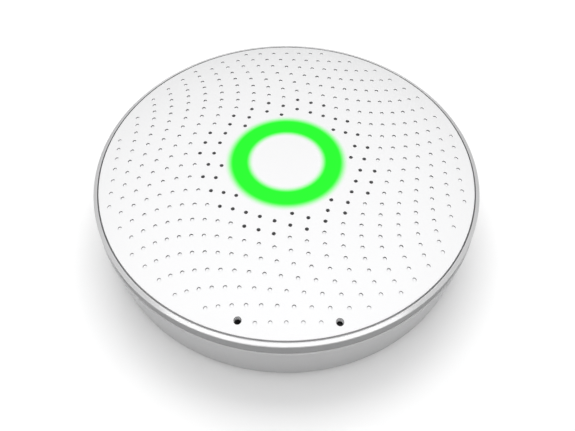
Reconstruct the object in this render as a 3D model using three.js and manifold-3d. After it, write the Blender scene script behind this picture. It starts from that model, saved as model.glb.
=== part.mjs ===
// A round, battery-powered air quality monitor that snaps onto a magnetic wall plate.
// Millimetres, +Z up. The origin is the centre of the wall plate's rear face, and +Y is the
// top of the monitor when it hangs on a wall.
import * as THREE from 'three';
import { mergeVertices } from 'three/addons/utils/BufferGeometryUtils.js';
import Module from 'manifold-3d';

const wasm = await Module();
wasm.setup();

// ---- Driving dimensions ----
const gap = 0.3; // clearance between pieces that touch or nest
const solder = 0.05; // solder under a board part
const wall = 1.8; // moulded walls of the rear housing

const bodyRadius = 60.1; // rear housing at its mouth
const wallTaper = 2.0; // the housing is this much smaller at its base
const plateProud = 1.5; // the wall plate stands this far behind the housing
const plateThickness = 3.0;
const rearRing = 12.0; // flat ring on the housing's rear, round the plate

const cellDiameter = 14.5;
const cellLength = 50.5;
const cellNub = 1.3; // height of the positive nub
const springLength = 4.4;
const contactSheet = 0.4; // thickness of the contact plates
const pocketWall = 1.2;
const boardThickness = 1.0;
const headroom = 1.5; // from the board's top to the rim's outer corner

const bandHeight = 4.2; // visible skirt of the bezel, from the rim's corner to the parting line
const rimInset = 0.1; // the rim is this much smaller than the housing's mouth
const bandInset = 0.35; // the skirt under the rim's lip
const rimWidth = 1.25; // top of the bezel, from its outer corner to the cover's pocket
const rimRise = 0.1; // the rim's inner edge above its outer corner
const rimRound = 0.4;
const lipHeight = 0.9;
const ledgeWidth = 1.75; // the bezel's ledge under the cover
const ledgeThickness = 1.5;
const tongueWall = 1.2; // the bezel's tongue inside the housing
const tongueDepth = 2.2;

const coverWall = 1.6;
const coverProud = 0.85; // the cover's edge above the rim's inner edge
const domeRise = 5.45; // the crown above the cover's edge
const domeShoulder = 0.68; // 0 is a plain parabola, more makes the middle flatter
const coverRings = 7;

const dotPitch = 4.47; // vent lattice, and how far it turns for each step nearer the centre
const dotTwist = THREE.MathUtils.degToRad(2.9);
const dotStraight = 12; // the ring of the lattice, in steps, that isn't turned
const ventDiameter = 1.1;
const ventInner = 19.5;
const ventOuter = 27.7;
const portDiameter = 2.0;
// Inset is from the cover's edge to the port's centre.
const lightPort = { inset: 3.9, angle: THREE.MathUtils.degToRad(-104) };
const soundPort = { inset: 3.2, angle: THREE.MathUtils.degToRad(-74.8) };

const glowInner = 11.9; // light guide
const glowOuter = 17.2;
const reflectorWall = 0.8;
const ledCount = 6;
const ledSize = 2.0;
const ledHeight = 0.8;

const chamberRadius = 17;
const chamberWall = 1.5;
const chamberMargin = 3.0; // between the battery pocket and the chamber
const sealHeight = 0.8;

const magnetDiameter = 8;
const magnetHeight = 2;
const magnetShoulder = 1.2; // plastic around and above a magnet
const keeperHeight = 1.2;

const housingScrews = [-25, 40, 140, 205].map(THREE.MathUtils.degToRad);
const housingScrew = { head: 2.7, headHeight: 1.5, shank: 1.1, length: 11.5 };
const housingBossRadius = 3.0;
const boardScrew = { head: 1.9, headHeight: 1.3, shank: 0.8, length: 6.5 };
const boardBossRadius = 2.4;
const boardBossInset = 5.0; // board screws stand this far inside the housing screws
const bossMargin = 1.2; // between a bezel boss and the tongue
const counterboreWall = 2.5; // depth of a counterbore, and of the plastic above it
const wallScrewHole = 2.2; // radius
const edgeMargin = 1.0; // plastic between a magnet's boss and the plate's edge

// Board parts: width, depth and height
const lightChip = [2.0, 1.6, 0.5];
const sounderSize = { radius: 2.2, height: 0.7, inset: 1.6 };
const gasketWall = 0.55;
const gasModule = [14, 19, 6.5];
const radioBoard = [16, 12, 0.8];
const radioCan = [11, 9.5, 1.5];
const amplifierCan = [12, 7, 2.0];
const processorSize = [7, 7, 0.9];
const crystalSize = [3.2, 1.5, 0.8];
const coilSize = { radius: 2.6, height: 2.4 };
const capacitorSize = [4.3, 7.3, 2.0];
const photodiodeSize = [10, 10, 1.2];

const bigSides = 64;
const ringSides = 32;
const smallSides = 16;
const screwSides = 12;
const tinySides = 8;

// ---- Levels and radii that follow from them ----
const baseRadius = bodyRadius - wallTaper;
const cellPitch = cellDiameter + 2 * gap;
const pocketHalfX = (cellLength + springLength + 2 * contactSheet + 5 * gap) / 2;
const pocketFront = -2.0; // the pocket's edge nearest the centre
const pocketBack = pocketFront - cellPitch - cellDiameter - 2 * gap;
const pocketCorner = Math.hypot(pocketHalfX, pocketBack);
const plateRadius = Math.max(baseRadius - rearRing, pocketCorner + gap); // it covers the pocket
const recessRadius = plateRadius + gap;
const rearFace = plateThickness + gap; // outer face of the housing's rear wall
const rearInside = rearFace + wall;

const cellBottom = plateThickness + gap;
const pocketTop = cellBottom + cellDiameter + gap;
const boardBottom = pocketTop + pocketWall + gap;
const boardTop = boardBottom + boardThickness;
const rimZ = boardTop + headroom;
const partingZ = rimZ - bandHeight;
const coverEdgeZ = rimZ + rimRise + coverProud;

const rimRadius = bodyRadius - rimInset;
const bandRadius = rimRadius - bandInset;
const grooveRadius = rimRadius - rimWidth; // inside edge of the rim
const coverRadius = grooveRadius - gap;
const coverSpan = (grooveRadius + coverRadius) / 2;
const ledgeTop = coverEdgeZ - coverWall - gap;
const ledgeBottom = ledgeTop - ledgeThickness;
const housingMouth = bodyRadius - wall; // inside radius at the parting line
const housingSlope = wallTaper / (partingZ - plateProud);
const tongueBottom = partingZ - tongueDepth;
const tongueOuter = housingMouth - housingSlope * tongueDepth - gap;
const tongueInner = tongueOuter - tongueWall;
const ledgeInner = grooveRadius - ledgeWidth;
const boardRadius = tongueInner - 2 * gap;
const bossRing = tongueInner - gap - housingBossRadius - bossMargin;

const cellRows = [pocketFront - gap - cellDiameter / 2, pocketFront - gap - cellDiameter / 2 - cellPitch];
const cellZ = cellBottom + cellDiameter / 2;

const chamberY = pocketFront + pocketWall + gap + chamberRadius + chamberMargin;
const chamberBottom = rearInside + gap;
const chamberTop = boardBottom - sealHeight - 2 * gap;

const magnetBoss = magnetDiameter / 2 + gap + magnetShoulder;
const magnetRing = plateRadius - magnetBoss - edgeMargin;
const sideMagnetX = Math.max(pocketHalfX + pocketWall + magnetBoss, magnetRing * 0.9);
const sideMagnetY = -Math.sqrt(Math.max(magnetRing ** 2 - sideMagnetX ** 2, 0));
const topMagnet = magnetRing * Math.SQRT1_2;
const magnetPlaces = [
  [topMagnet, topMagnet], [-topMagnet, topMagnet],
  [-sideMagnetX, sideMagnetY], [sideMagnetX, sideMagnetY],
];
const magnetBottom = rearFace + gap;
const magnetTop = magnetBottom + magnetHeight;

const boardBossRing = bossRing - boardBossInset;
const boardScrewPlaces = [30, 150, 270].map((degrees) => {
  const angle = THREE.MathUtils.degToRad(degrees);
  return [boardBossRing * Math.cos(angle), boardBossRing * Math.sin(angle)];
});
const housingScrewPlaces = housingScrews.map((angle) => (
  [bossRing * Math.cos(angle), bossRing * Math.sin(angle)]
));

const counterboreTop = plateProud + counterboreWall;
const housingBossTop = counterboreTop + counterboreWall;

// ---- Colours and finishes ----
function finish(color, roughness, metalness = 0) {
  return new THREE.MeshStandardMaterial({ color, roughness, metalness });
}
const whiteShell = () => finish(0xf2f2f1, 0.45);
const rearShell = () => finish(0xe9e9e8, 0.55);
const blackPlastic = () => finish(0x1c1d1f, 0.6);
const chipBlack = () => finish(0x17181a, 0.45);
const steel = () => finish(0xb9bcc0, 0.3, 1);
const nickel = () => finish(0xd0d2d4, 0.2, 1);
const foam = () => finish(0x2b2b2d, 0.95);

// ---- Shape helpers ----
function crown(radius) {
  const share = (radius / coverSpan) ** 2;
  return coverEdgeZ + domeRise * (1 - share) * (1 + domeShoulder * share);
}

// A profile of [radius, height] pairs, anticlockwise, turned about Z.
function turned(profile, sides = bigSides) {
  const points = profile.map(([radius, height]) => new THREE.Vector2(radius, height));
  return new THREE.LatheGeometry(points, sides).rotateX(Math.PI / 2);
}

function closed(profile) {
  return [...profile, profile[0]];
}

function rod(radius, bottom, top, sides = smallSides) {
  const shape = new THREE.CylinderGeometry(radius, radius, top - bottom, sides).rotateX(Math.PI / 2);
  return shape.translate(0, 0, (top + bottom) / 2);
}

function block(width, depth, bottom, top) {
  return new THREE.BoxGeometry(width, depth, top - bottom).translate(0, 0, (top + bottom) / 2);
}

// A board part that stands on the board, or hangs under it when it is turned over.
function chip([width, depth, height], under = false) {
  return under ? block(width, depth, -height, 0) : block(width, depth, 0, height);
}

// A geometry as a manifold solid, without the zero-area triangles that a turned profile has on its axis.
function solid(geometry) {
  const bare = geometry.clone();
  bare.deleteAttribute('normal');
  bare.deleteAttribute('uv');
  const merged = mergeVertices(bare, 1e-4);
  const corners = merged.index.array;
  const kept = [];
  for (let i = 0; i < corners.length; i += 3) {
    const [a, b, c] = corners.slice(i, i + 3);
    if (a !== b && b !== c && c !== a) kept.push(a, b, c);
  }
  return new wasm.Manifold(new wasm.Mesh({
    numProp: 3, vertProperties: merged.attributes.position.array, triVerts: new Uint32Array(kept),
  }));
}

function at(geometry, x, y) {
  return solid(geometry.clone().translate(x, y, 0));
}

function toGeometry(manifold) {
  const mesh = manifold.getMesh();
  const geometry = new THREE.BufferGeometry();
  geometry.setAttribute('position', new THREE.BufferAttribute(mesh.vertProperties, 3));
  geometry.setIndex(new THREE.BufferAttribute(mesh.triVerts, 1));
  geometry.computeVertexNormals();
  return geometry;
}

function addPiece(group, name, shape, material, [x, y, z] = [0, 0, 0]) {
  const mesh = new THREE.Mesh(shape.isBufferGeometry ? shape : toGeometry(shape), material);
  mesh.name = name;
  mesh.position.set(x, y, z);
  group.add(mesh);
  return mesh;
}

// ---- Front cover: a domed disc with a twisted lattice of vents and two ports ----
// Lattice steps (column, row) are turned about the centre, more so the nearer they are to it.
function latticePlace(column, row) {
  const steps = Math.hypot(column, row);
  const angle = Math.atan2(row, column) + dotTwist * (steps - dotStraight);
  return [dotPitch * steps * Math.cos(angle), dotPitch * steps * Math.sin(angle)];
}

function ventPlaces() {
  const places = [];
  const reach = Math.ceil(ventOuter / dotPitch);
  for (let column = -reach; column <= reach; column += 1) {
    for (let row = -reach; row <= reach; row += 1) {
      const radius = dotPitch * Math.hypot(column, row);
      if (radius > ventInner && radius < ventOuter) places.push(latticePlace(column, row));
    }
  }
  return places;
}

function portPlace({ inset, angle }) {
  const radius = coverRadius - inset;
  return [radius * Math.cos(angle), radius * Math.sin(angle)];
}

function frontCover() {
  const edgeRound = 0.35;
  const under = [];
  const over = [];
  for (let ring = 0; ring <= coverRings; ring += 1) {
    const radius = (coverRadius * ring) / coverRings;
    under.push([radius, crown(radius) - coverWall]);
    if (ring < coverRings) over.unshift([radius, crown(radius)]);
  }
  const edge = [
    [coverRadius, crown(coverRadius) - edgeRound],
    [coverRadius - edgeRound, crown(coverRadius - edgeRound)],
  ];
  const dome = solid(turned([...under, ...edge, ...over]));
  const low = coverEdgeZ - 2 * coverWall;
  const high = coverEdgeZ + domeRise + coverWall;
  const vent = rod(ventDiameter / 2, low, high, tinySides);
  const portHole = rod(portDiameter / 2, low, high, smallSides);
  const cuts = ventPlaces().map(([x, y]) => at(vent, x, y));
  for (const port of [lightPort, soundPort]) cuts.push(at(portHole, ...portPlace(port)));
  return cuts.reduce((shape, cut) => shape.subtract(cut), dome);
}

// ---- Bezel: the ring that holds the cover, with a tongue and screw bosses behind ----
function bezel() {
  const corner = [];
  const roundSteps = 3;
  for (let step = 0; step <= roundSteps; step += 1) {
    const angle = (step / roundSteps) * (Math.PI / 2);
    corner.push([rimRadius - rimRound * (1 - Math.cos(angle)), rimZ - rimRound * (1 - Math.sin(angle))]);
  }
  const ring = solid(turned(closed([
    [tongueOuter, tongueBottom],
    [tongueOuter, partingZ + gap],
    [bandRadius, partingZ + gap],
    [bandRadius, rimZ - lipHeight - bandInset],
    [rimRadius, rimZ - lipHeight],
    ...corner,
    [grooveRadius, rimZ + rimRise],
    [grooveRadius, ledgeTop],
    [ledgeInner, ledgeTop],
    [ledgeInner, ledgeBottom],
    [tongueInner, ledgeBottom],
    [tongueInner, tongueBottom],
  ])));
  const bossBottom = housingBossTop + gap;
  const pilotTop = plateProud + gap + housingScrew.headHeight + housingScrew.length + 1;
  let shape = ring;
  for (const angle of housingScrews) {
    const [x, y] = [bossRing * Math.cos(angle), bossRing * Math.sin(angle)];
    const ribOuter = tongueInner + tongueWall / 2;
    const rib = block(ribOuter - bossRing, 2, tongueBottom, ledgeBottom)
      .translate((ribOuter + bossRing) / 2, 0, 0).rotateZ(angle);
    shape = shape.add(solid(rib)).add(at(rod(housingBossRadius, bossBottom, ledgeBottom), x, y));
    shape = shape.subtract(at(rod(housingScrew.shank + gap, bossBottom - 1, pilotTop), x, y));
  }
  return shape;
}

// ---- Rear housing: a tub with the battery pocket, magnet pockets and bosses ----
function rearHousing() {
  const baseRound = 0.6;
  const mouthRound = 0.4;
  const innerFoot = housingMouth - housingSlope * (partingZ - plateProud - wall);
  let shape = solid(turned([
    [0, rearFace],
    [recessRadius, rearFace],
    [recessRadius, plateProud],
    [baseRadius - baseRound, plateProud],
    [baseRadius, plateProud + baseRound],
    [bodyRadius, partingZ - mouthRound],
    [bodyRadius - mouthRound, partingZ],
    [housingMouth, partingZ],
    [innerFoot, plateProud + wall],
    [recessRadius + wall, plateProud + wall],
    [recessRadius + wall, rearInside],
    [0, rearInside],
  ]));
  const pocketY = (pocketFront + pocketBack) / 2;
  const pocketDepth = pocketFront - pocketBack;
  const pocketOuter = block(2 * (pocketHalfX + pocketWall), pocketDepth + 2 * pocketWall,
    rearFace, pocketTop + pocketWall);
  shape = shape.add(at(pocketOuter, 0, pocketY));
  const magnetBossShape = rod(magnetBoss, rearFace, magnetTop + gap + magnetShoulder);
  for (const [x, y] of magnetPlaces) shape = shape.add(at(magnetBossShape, x, y));
  for (const [x, y] of boardScrewPlaces) {
    shape = shape.add(at(rod(boardBossRadius, rearFace + wall / 2, boardBottom - gap), x, y));
  }
  for (const [x, y] of housingScrewPlaces) {
    const bossRadius = housingScrew.head + gap + 1;
    shape = shape.add(at(rod(bossRadius, plateProud + wall / 2, housingBossTop), x, y));
  }

  shape = shape.subtract(at(block(2 * pocketHalfX, pocketDepth, 0, pocketTop), 0, pocketY));
  for (const [x, y] of magnetPlaces) {
    shape = shape.subtract(at(rod(magnetDiameter / 2 + gap, 0, magnetTop + gap), x, y));
  }
  const boardPilotBottom = boardTop + gap - boardScrew.length - 1;
  for (const [x, y] of boardScrewPlaces) {
    shape = shape.subtract(at(rod(boardScrew.shank + gap, boardPilotBottom, boardTop, tinySides), x, y));
  }
  for (const [x, y] of housingScrewPlaces) {
    shape = shape.subtract(at(rod(housingScrew.head + gap, 0, counterboreTop), x, y));
    shape = shape.subtract(at(rod(housingScrew.shank + gap, 0, housingBossTop + 1), x, y));
  }
  return shape;
}

// ---- Wall plate: a disc with a countersunk screw hole and pockets for the steel keepers ----
function wallPlate() {
  const edge = 0.5;
  const sink = 1.8;
  let shape = solid(turned([
    [0, 0],
    [plateRadius - edge, 0],
    [plateRadius, edge],
    [plateRadius, plateThickness - edge],
    [plateRadius - edge, plateThickness],
    [0, plateThickness],
  ]));
  const hole = turned([
    [0, -1],
    [wallScrewHole, -1],
    [wallScrewHole, plateThickness - sink],
    [wallScrewHole + sink + 1, plateThickness + 1],
    [0, plateThickness + 1],
  ], smallSides);
  shape = shape.subtract(solid(hole));
  const keeperPocket = rod(magnetDiameter / 2 + gap, plateThickness - keeperHeight - gap, plateThickness + 1);
  for (const [x, y] of magnetPlaces) shape = shape.subtract(at(keeperPocket, x, y));
  return shape;
}

// ---- Main board and what is soldered to it ----
function mainBoard() {
  let shape = solid(rod(boardRadius, boardBottom, boardTop, bigSides));
  const slotHalf = housingBossRadius + gap;
  for (const angle of housingScrews) {
    const slot = block(2 * slotHalf + 4, 2 * slotHalf, boardBottom - 1, boardTop + 1)
      .translate(bossRing + slotHalf + 2, 0, 0).rotateZ(angle);
    const [x, y] = [bossRing * Math.cos(angle), bossRing * Math.sin(angle)];
    shape = shape.subtract(solid(slot));
    shape = shape.subtract(at(rod(slotHalf, boardBottom - 1, boardTop + 1), x, y));
  }
  for (const [x, y] of boardScrewPlaces) {
    const hole = rod(boardScrew.shank + gap, boardBottom - 1, boardTop + 1, tinySides);
    shape = shape.subtract(at(hole, x, y));
  }
  return shape;
}

function reflectorRing(floorBottom, floorTop, top) {
  const inner = glowInner - gap - reflectorWall;
  const outer = glowOuter + gap + reflectorWall;
  let shape = solid(turned(closed([
    [inner, floorBottom], [outer, floorBottom], [outer, top], [outer - reflectorWall, top],
    [outer - reflectorWall, floorTop], [inner + reflectorWall, floorTop],
    [inner + reflectorWall, top], [inner, top],
  ]), ringSides));
  for (let i = 0; i < ledCount; i += 1) {
    const window = block(ledSize + 1, ledSize + 1, floorBottom - 1, floorTop + 1)
      .translate((glowInner + glowOuter) / 2, 0, 0).rotateZ((i / ledCount) * 2 * Math.PI);
    shape = shape.subtract(solid(window));
  }
  return shape;
}

function screwShape({ head, headHeight, shank, length }) {
  const slot = { width: head * 1.1, depth: headHeight * 0.45 };
  const body = solid(turned([
    [0, 0], [head * 0.8, 0], [head, headHeight * 0.35], [head, headHeight],
    [shank, headHeight], [shank, headHeight + length - shank], [0, headHeight + length],
  ], screwSides));
  const cross = block(slot.width, 0.5, -1, slot.depth);
  return body.subtract(solid(cross)).subtract(solid(cross.clone().rotateZ(Math.PI / 2)));
}

// ---- Battery cells and their contacts ----
function cellShape() {
  const radius = cellDiameter / 2;
  const edge = 0.6;
  const nubRadius = 2.7;
  const body = cellLength - cellNub;
  return turned([
    [0, 0], [radius - edge, 0], [radius, edge], [radius, body - edge], [radius - edge, body],
    [nubRadius, body], [nubRadius, cellLength - 0.2], [nubRadius - 0.2, cellLength], [0, cellLength],
  ], 20).translate(0, 0, -cellLength / 2).rotateY(Math.PI / 2);
}

class ConeCoil extends THREE.Curve {
  constructor(turns, wideRadius, narrowRadius, length) {
    super();
    Object.assign(this, { turns, wideRadius, narrowRadius, length });
  }

  getPoint(t, target = new THREE.Vector3()) {
    const angle = 2 * Math.PI * this.turns * t;
    const radius = this.wideRadius + (this.narrowRadius - this.wideRadius) * t;
    return target.set(this.length * t, radius * Math.cos(angle), radius * Math.sin(angle));
  }
}

function springShape() {
  const wire = 0.35;
  const length = springLength - 2 * gap - 2 * wire;
  const turns = 2.5;
  const section = new THREE.Shape();
  for (let side = 0; side < 6; side += 1) {
    const angle = (side / 6) * 2 * Math.PI;
    const place = [wire * Math.cos(angle), wire * Math.sin(angle)];
    if (side === 0) section.moveTo(...place);
    else section.lineTo(...place);
  }
  section.closePath();
  const coil = new ConeCoil(turns, 4.2, 2.0, length);
  return new THREE.ExtrudeGeometry(section, { steps: 26, bevelEnabled: false, extrudePath: coil })
    .translate(wire, 0, 0);
}

// ---- The wall side: the plate and its keepers stay on the wall ----
const monitor = new THREE.Group();
const wallSide = new THREE.Group();
addPiece(wallSide, 'wall_plate', wallPlate(), rearShell());
const keeper = rod(magnetDiameter / 2, 0, keeperHeight);
magnetPlaces.forEach(([x, y], i) => {
  addPiece(wallSide, `keeper_disc_${i + 1}`, keeper, steel(), [x, y, plateThickness - keeperHeight]);
});

// ---- The shells, screws and magnets ----
addPiece(monitor, 'front_cover', frontCover(), whiteShell());
addPiece(monitor, 'bezel', bezel(), whiteShell());
addPiece(monitor, 'rear_housing', rearHousing(), rearShell());
const magnet = rod(magnetDiameter / 2, 0, magnetHeight);
magnetPlaces.forEach(([x, y], i) => {
  addPiece(monitor, `magnet_${i + 1}`, magnet, nickel(), [x, y, magnetBottom]);
});
const longScrew = screwShape(housingScrew);
housingScrewPlaces.forEach(([x, y], i) => {
  const z = counterboreTop - gap - housingScrew.headHeight;
  addPiece(monitor, `housing_screw_${i + 1}`, longScrew, steel(), [x, y, z]);
});
const shortScrew = toGeometry(screwShape(boardScrew)).rotateX(Math.PI);
boardScrewPlaces.forEach(([x, y], i) => {
  const z = boardTop + gap + boardScrew.headHeight;
  addPiece(monitor, `board_screw_${i + 1}`, shortScrew, steel(), [x, y, z]);
});

// ---- Board, lamp ring and sensors ----
addPiece(monitor, 'main_board', mainBoard(), finish(0x1f5a36, 0.5));
const onBoard = boardTop + solder;
const ledRing = (glowInner + glowOuter) / 2;
const led = block(ledSize, ledSize, 0, ledHeight);
for (let i = 0; i < ledCount; i += 1) {
  const angle = (i / ledCount) * 2 * Math.PI;
  const mesh = addPiece(monitor, `led_${i + 1}`, led, finish(0xf4f1d8, 0.3),
    [ledRing * Math.cos(angle), ledRing * Math.sin(angle), onBoard]);
  mesh.rotation.z = angle;
}
const floorBottom = onBoard + ledHeight + gap;
const floorTop = floorBottom + 0.6;
const lampTop = crown(glowOuter + gap + reflectorWall) - coverWall - gap;
addPiece(monitor, 'reflector_ring', reflectorRing(floorBottom, floorTop, lampTop), finish(0xfafafa, 0.6));
const guide = closed([
  [glowInner, floorTop + gap], [glowOuter, floorTop + gap], [glowOuter, lampTop], [glowInner, lampTop],
]);
addPiece(monitor, 'light_guide', turned(guide, ringSides), finish(0xd9f5dc, 0.2));
const motionCan = turned([
  [0, 0], [4.6, 0], [4.6, 0.4], [4.1, 0.4], [4.1, 3.6], [3.7, 4.0], [0, 4.0],
], smallSides);
addPiece(monitor, 'motion_sensor', motionCan, nickel(), [0, 0, onBoard]);

const meshInner = glowOuter + gap + reflectorWall + gap;
const meshOuter = ventOuter + 1.2;
const meshThickness = 0.4;
const ventMesh = closed([
  [meshInner, crown(meshInner) - coverWall - gap - meshThickness],
  [meshOuter, crown(meshOuter) - coverWall - gap - meshThickness],
  [meshOuter, crown(meshOuter) - coverWall - gap],
  [(meshInner + meshOuter) / 2, crown((meshInner + meshOuter) / 2) - coverWall - gap],
  [meshInner, crown(meshInner) - coverWall - gap],
]);
addPiece(monitor, 'vent_mesh', turned(ventMesh, ringSides), foam());

const [lightX, lightY] = portPlace(lightPort);
addPiece(monitor, 'light_sensor', chip(lightChip), chipBlack(), [lightX, lightY, onBoard]);
const pipeBottom = onBoard + lightChip[2] + gap;
const pipeTop = crown(coverRadius - lightPort.inset) - 0.65; // the lens sits a little inside its port
const pipe = rod(portDiameter / 2 - gap, pipeBottom, pipeTop);
addPiece(monitor, 'light_pipe', pipe, finish(0x202326, 0.08), [lightX, lightY, 0]);

const [soundX, soundY] = portPlace(soundPort);
const sounderShare = 1 - sounderSize.inset / (coverRadius - soundPort.inset);
const sounder = rod(sounderSize.radius, 0, sounderSize.height);
addPiece(monitor, 'sounder', sounder, blackPlastic(), [soundX * sounderShare, soundY * sounderShare, onBoard]);
const gasketInner = portDiameter / 2 + solder;
const gasketOuter = gasketInner + gasketWall;
const gasketBottom = onBoard + sounderSize.height + solder;
const gasketTop = crown(coverRadius - soundPort.inset + gasketOuter) - coverWall - solder;
const gasketRing = closed([
  [gasketInner, gasketBottom], [gasketOuter, gasketBottom], [gasketOuter, gasketTop], [gasketInner, gasketTop],
]);
addPiece(monitor, 'sounder_gasket', turned(gasketRing, smallSides), foam(), [soundX, soundY, 0]);

// Air sensors stand on the board under the vents, at these angles in degrees.
const sensorRing = (ventInner + ventOuter) / 2;
const airSensors = [
  { name: 'gas_sensor', degrees: 60, size: [3.0, 3.0, 1.0], material: nickel },
  { name: 'humidity_sensor', degrees: 120, size: [2.5, 2.5, 0.9], material: chipBlack },
  { name: 'pressure_sensor', degrees: 0, size: [2.0, 2.5, 0.95], material: nickel },
];
for (const { name, degrees, size, material } of airSensors) {
  const angle = THREE.MathUtils.degToRad(degrees);
  const place = [sensorRing * Math.cos(angle), sensorRing * Math.sin(angle), onBoard];
  addPiece(monitor, name, chip(size), material(), place);
}

const gasModuleX = -(pocketHalfX + pocketWall + gasModule[0] / 2 + 1);
const underBoard = boardBottom - solder;
const gold = finish(0xc9a64a, 0.35, 1);
addPiece(monitor, 'co2_module', chip(gasModule, true), gold, [gasModuleX, 6.5, underBoard]);
const radioY = boardRadius - radioBoard[1] / 2 - 4;
const canOnRadio = onBoard + radioBoard[2] + solder;
const coil = rod(coilSize.radius, 0, coilSize.height);
addPiece(monitor, 'radio_module', chip(radioBoard), finish(0x1b2a52, 0.5), [0, radioY, onBoard]);
addPiece(monitor, 'radio_shield', chip(radioCan), steel(), [-1.5, radioY, canOnRadio]);
addPiece(monitor, 'amplifier_shield', chip(amplifierCan), nickel(), [0, ventOuter + 5, onBoard]);
addPiece(monitor, 'processor', chip(processorSize), chipBlack(), [31, -8, onBoard]);
addPiece(monitor, 'crystal', chip(crystalSize), nickel(), [31, -14, onBoard]);
addPiece(monitor, 'power_coil', coil, blackPlastic(), [-31, -10, onBoard]);
addPiece(monitor, 'bulk_capacitor', chip(capacitorSize), finish(0xc08a2e, 0.5), [-31, -19, onBoard]);

// ---- Diffusion chamber, its foam seal and the photodiode above it ----
function chamberCup() {
  const floor = chamberBottom + chamberWall;
  let shape = solid(turned([
    [0, chamberBottom], [chamberRadius, chamberBottom], [chamberRadius, chamberTop],
    [chamberRadius - chamberWall, chamberTop], [chamberRadius - chamberWall, floor], [0, floor],
  ], ringSides));
  const inlet = new THREE.CylinderGeometry(1.2, 1.2, 6, tinySides).translate(0, chamberRadius - 1, 0);
  for (let i = 0; i < 6; i += 1) {
    const turn = ((i + 0.5) / 6) * 2 * Math.PI;
    const hole = inlet.clone().rotateZ(turn).translate(0, 0, (floor + chamberTop) / 2);
    shape = shape.subtract(solid(hole));
  }
  return shape;
}
addPiece(monitor, 'chamber_cup', chamberCup(), blackPlastic(), [0, chamberY, 0]);
const sealBottom = chamberTop + gap;
const seal = closed([
  [chamberRadius - chamberWall, sealBottom], [chamberRadius, sealBottom],
  [chamberRadius, sealBottom + sealHeight], [chamberRadius - chamberWall, sealBottom + sealHeight],
]);
addPiece(monitor, 'chamber_seal', turned(seal, ringSides), foam(), [0, chamberY, 0]);
addPiece(monitor, 'photodiode', chip(photodiodeSize, true), chipBlack(), [0, chamberY, underBoard]);

// ---- Cells, lying side by side and opposite ways, with a spring at each negative end ----
const contactOffset = pocketHalfX - gap - contactSheet / 2;
const contactHeight = 9;
const cellCase = () => finish(0x3c6e8f, 0.3, 0.6);
const springPlace = (side) => side * (contactOffset - contactSheet / 2 - gap);
cellRows.forEach((y, i) => {
  const side = i === 0 ? 1 : -1; // the side that the positive nub points to
  const x = side * (contactOffset - contactSheet / 2 - gap - cellLength / 2);
  const cell = addPiece(monitor, `cell_${i + 1}`, cellShape(), cellCase(), [x, y, cellZ]);
  if (side < 0) cell.rotation.z = Math.PI;
  const foot = [springPlace(-side), y, cellZ];
  const spring = addPiece(monitor, `contact_spring_${i + 1}`, springShape(), nickel(), foot);
  if (side < 0) spring.rotation.z = Math.PI;
});
const tab = new THREE.BoxGeometry(contactSheet, contactHeight, contactHeight);
addPiece(monitor, 'positive_tab', tab, nickel(), [contactOffset, cellRows[0], cellZ]);
addPiece(monitor, 'negative_tab', tab, nickel(), [contactOffset, cellRows[1], cellZ]);
const bridge = new THREE.BoxGeometry(contactSheet, cellPitch + contactHeight, contactHeight);
addPiece(monitor, 'contact_bridge', bridge, nickel(), [-contactOffset, (cellRows[0] + cellRows[1]) / 2, cellZ]);

const assembly = new THREE.Group();
assembly.add(wallSide, monitor);
export default assembly;
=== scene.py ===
# %% [markdown]
# # An air quality monitor, finished in Blender
#
# The real thing is a round white box about 120 mm across and 28 mm high, which hangs on a wall by
# magnets. Its domed cover is sprinkled with small dimples, and a green ring glows in the middle.
# The CAD model already holds every part at its real size, so this lesson starts from that frame.
# We then build fine meshes over the plain CAD solids, give each part a finish made of shader
# nodes, and light it all with soft lamps. Nothing here moves or resizes a CAD part.

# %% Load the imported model
import math

import bmesh
import bpy
from mathutils import Matrix, Vector
from mathutils.geometry import delaunay_2d_cdt
from mathutils.kdtree import KDTree


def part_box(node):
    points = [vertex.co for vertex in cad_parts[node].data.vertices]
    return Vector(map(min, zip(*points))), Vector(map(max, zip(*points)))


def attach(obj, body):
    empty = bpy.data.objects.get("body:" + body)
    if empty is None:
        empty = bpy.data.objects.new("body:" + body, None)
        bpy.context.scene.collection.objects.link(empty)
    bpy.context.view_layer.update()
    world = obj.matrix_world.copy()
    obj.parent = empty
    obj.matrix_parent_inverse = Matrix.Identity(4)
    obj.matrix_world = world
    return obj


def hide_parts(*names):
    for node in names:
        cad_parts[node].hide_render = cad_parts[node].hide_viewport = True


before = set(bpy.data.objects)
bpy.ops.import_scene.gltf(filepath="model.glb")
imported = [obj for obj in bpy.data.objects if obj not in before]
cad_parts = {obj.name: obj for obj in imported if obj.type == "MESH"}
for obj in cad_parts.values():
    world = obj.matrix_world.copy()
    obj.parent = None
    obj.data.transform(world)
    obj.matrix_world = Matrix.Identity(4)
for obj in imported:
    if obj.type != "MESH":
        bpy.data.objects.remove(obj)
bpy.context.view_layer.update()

# %% [markdown]
# Blender works in metres and a maker thinks in millimetres. We keep every size in millimetres and
# scale once, when a mesh is finished. Sizes are read from the CAD nodes wherever a node shows
# them, so a new pack moves the fine meshes with it.

# %% Read sizes from the CAD nodes
MM = 0.001


def node_box(node):
    """Lowest and highest corner of a CAD node, in millimetres."""
    low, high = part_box(node)
    return Vector(low) / MM, Vector(high) / MM


cover_low, cover_high = node_box("front_cover")
bezel_high = node_box("bezel")[1]
housing_low, housing_high = node_box("rear_housing")
plate_low, plate_high = node_box("wall_plate")

cover_radius = cover_high.x
rim_radius = bezel_high.x
body_radius = housing_high.x
plate_radius = plate_high.x
print(f"radii: cover {cover_radius:.2f}, rim {rim_radius:.2f}, body {body_radius:.2f} mm")

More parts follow.
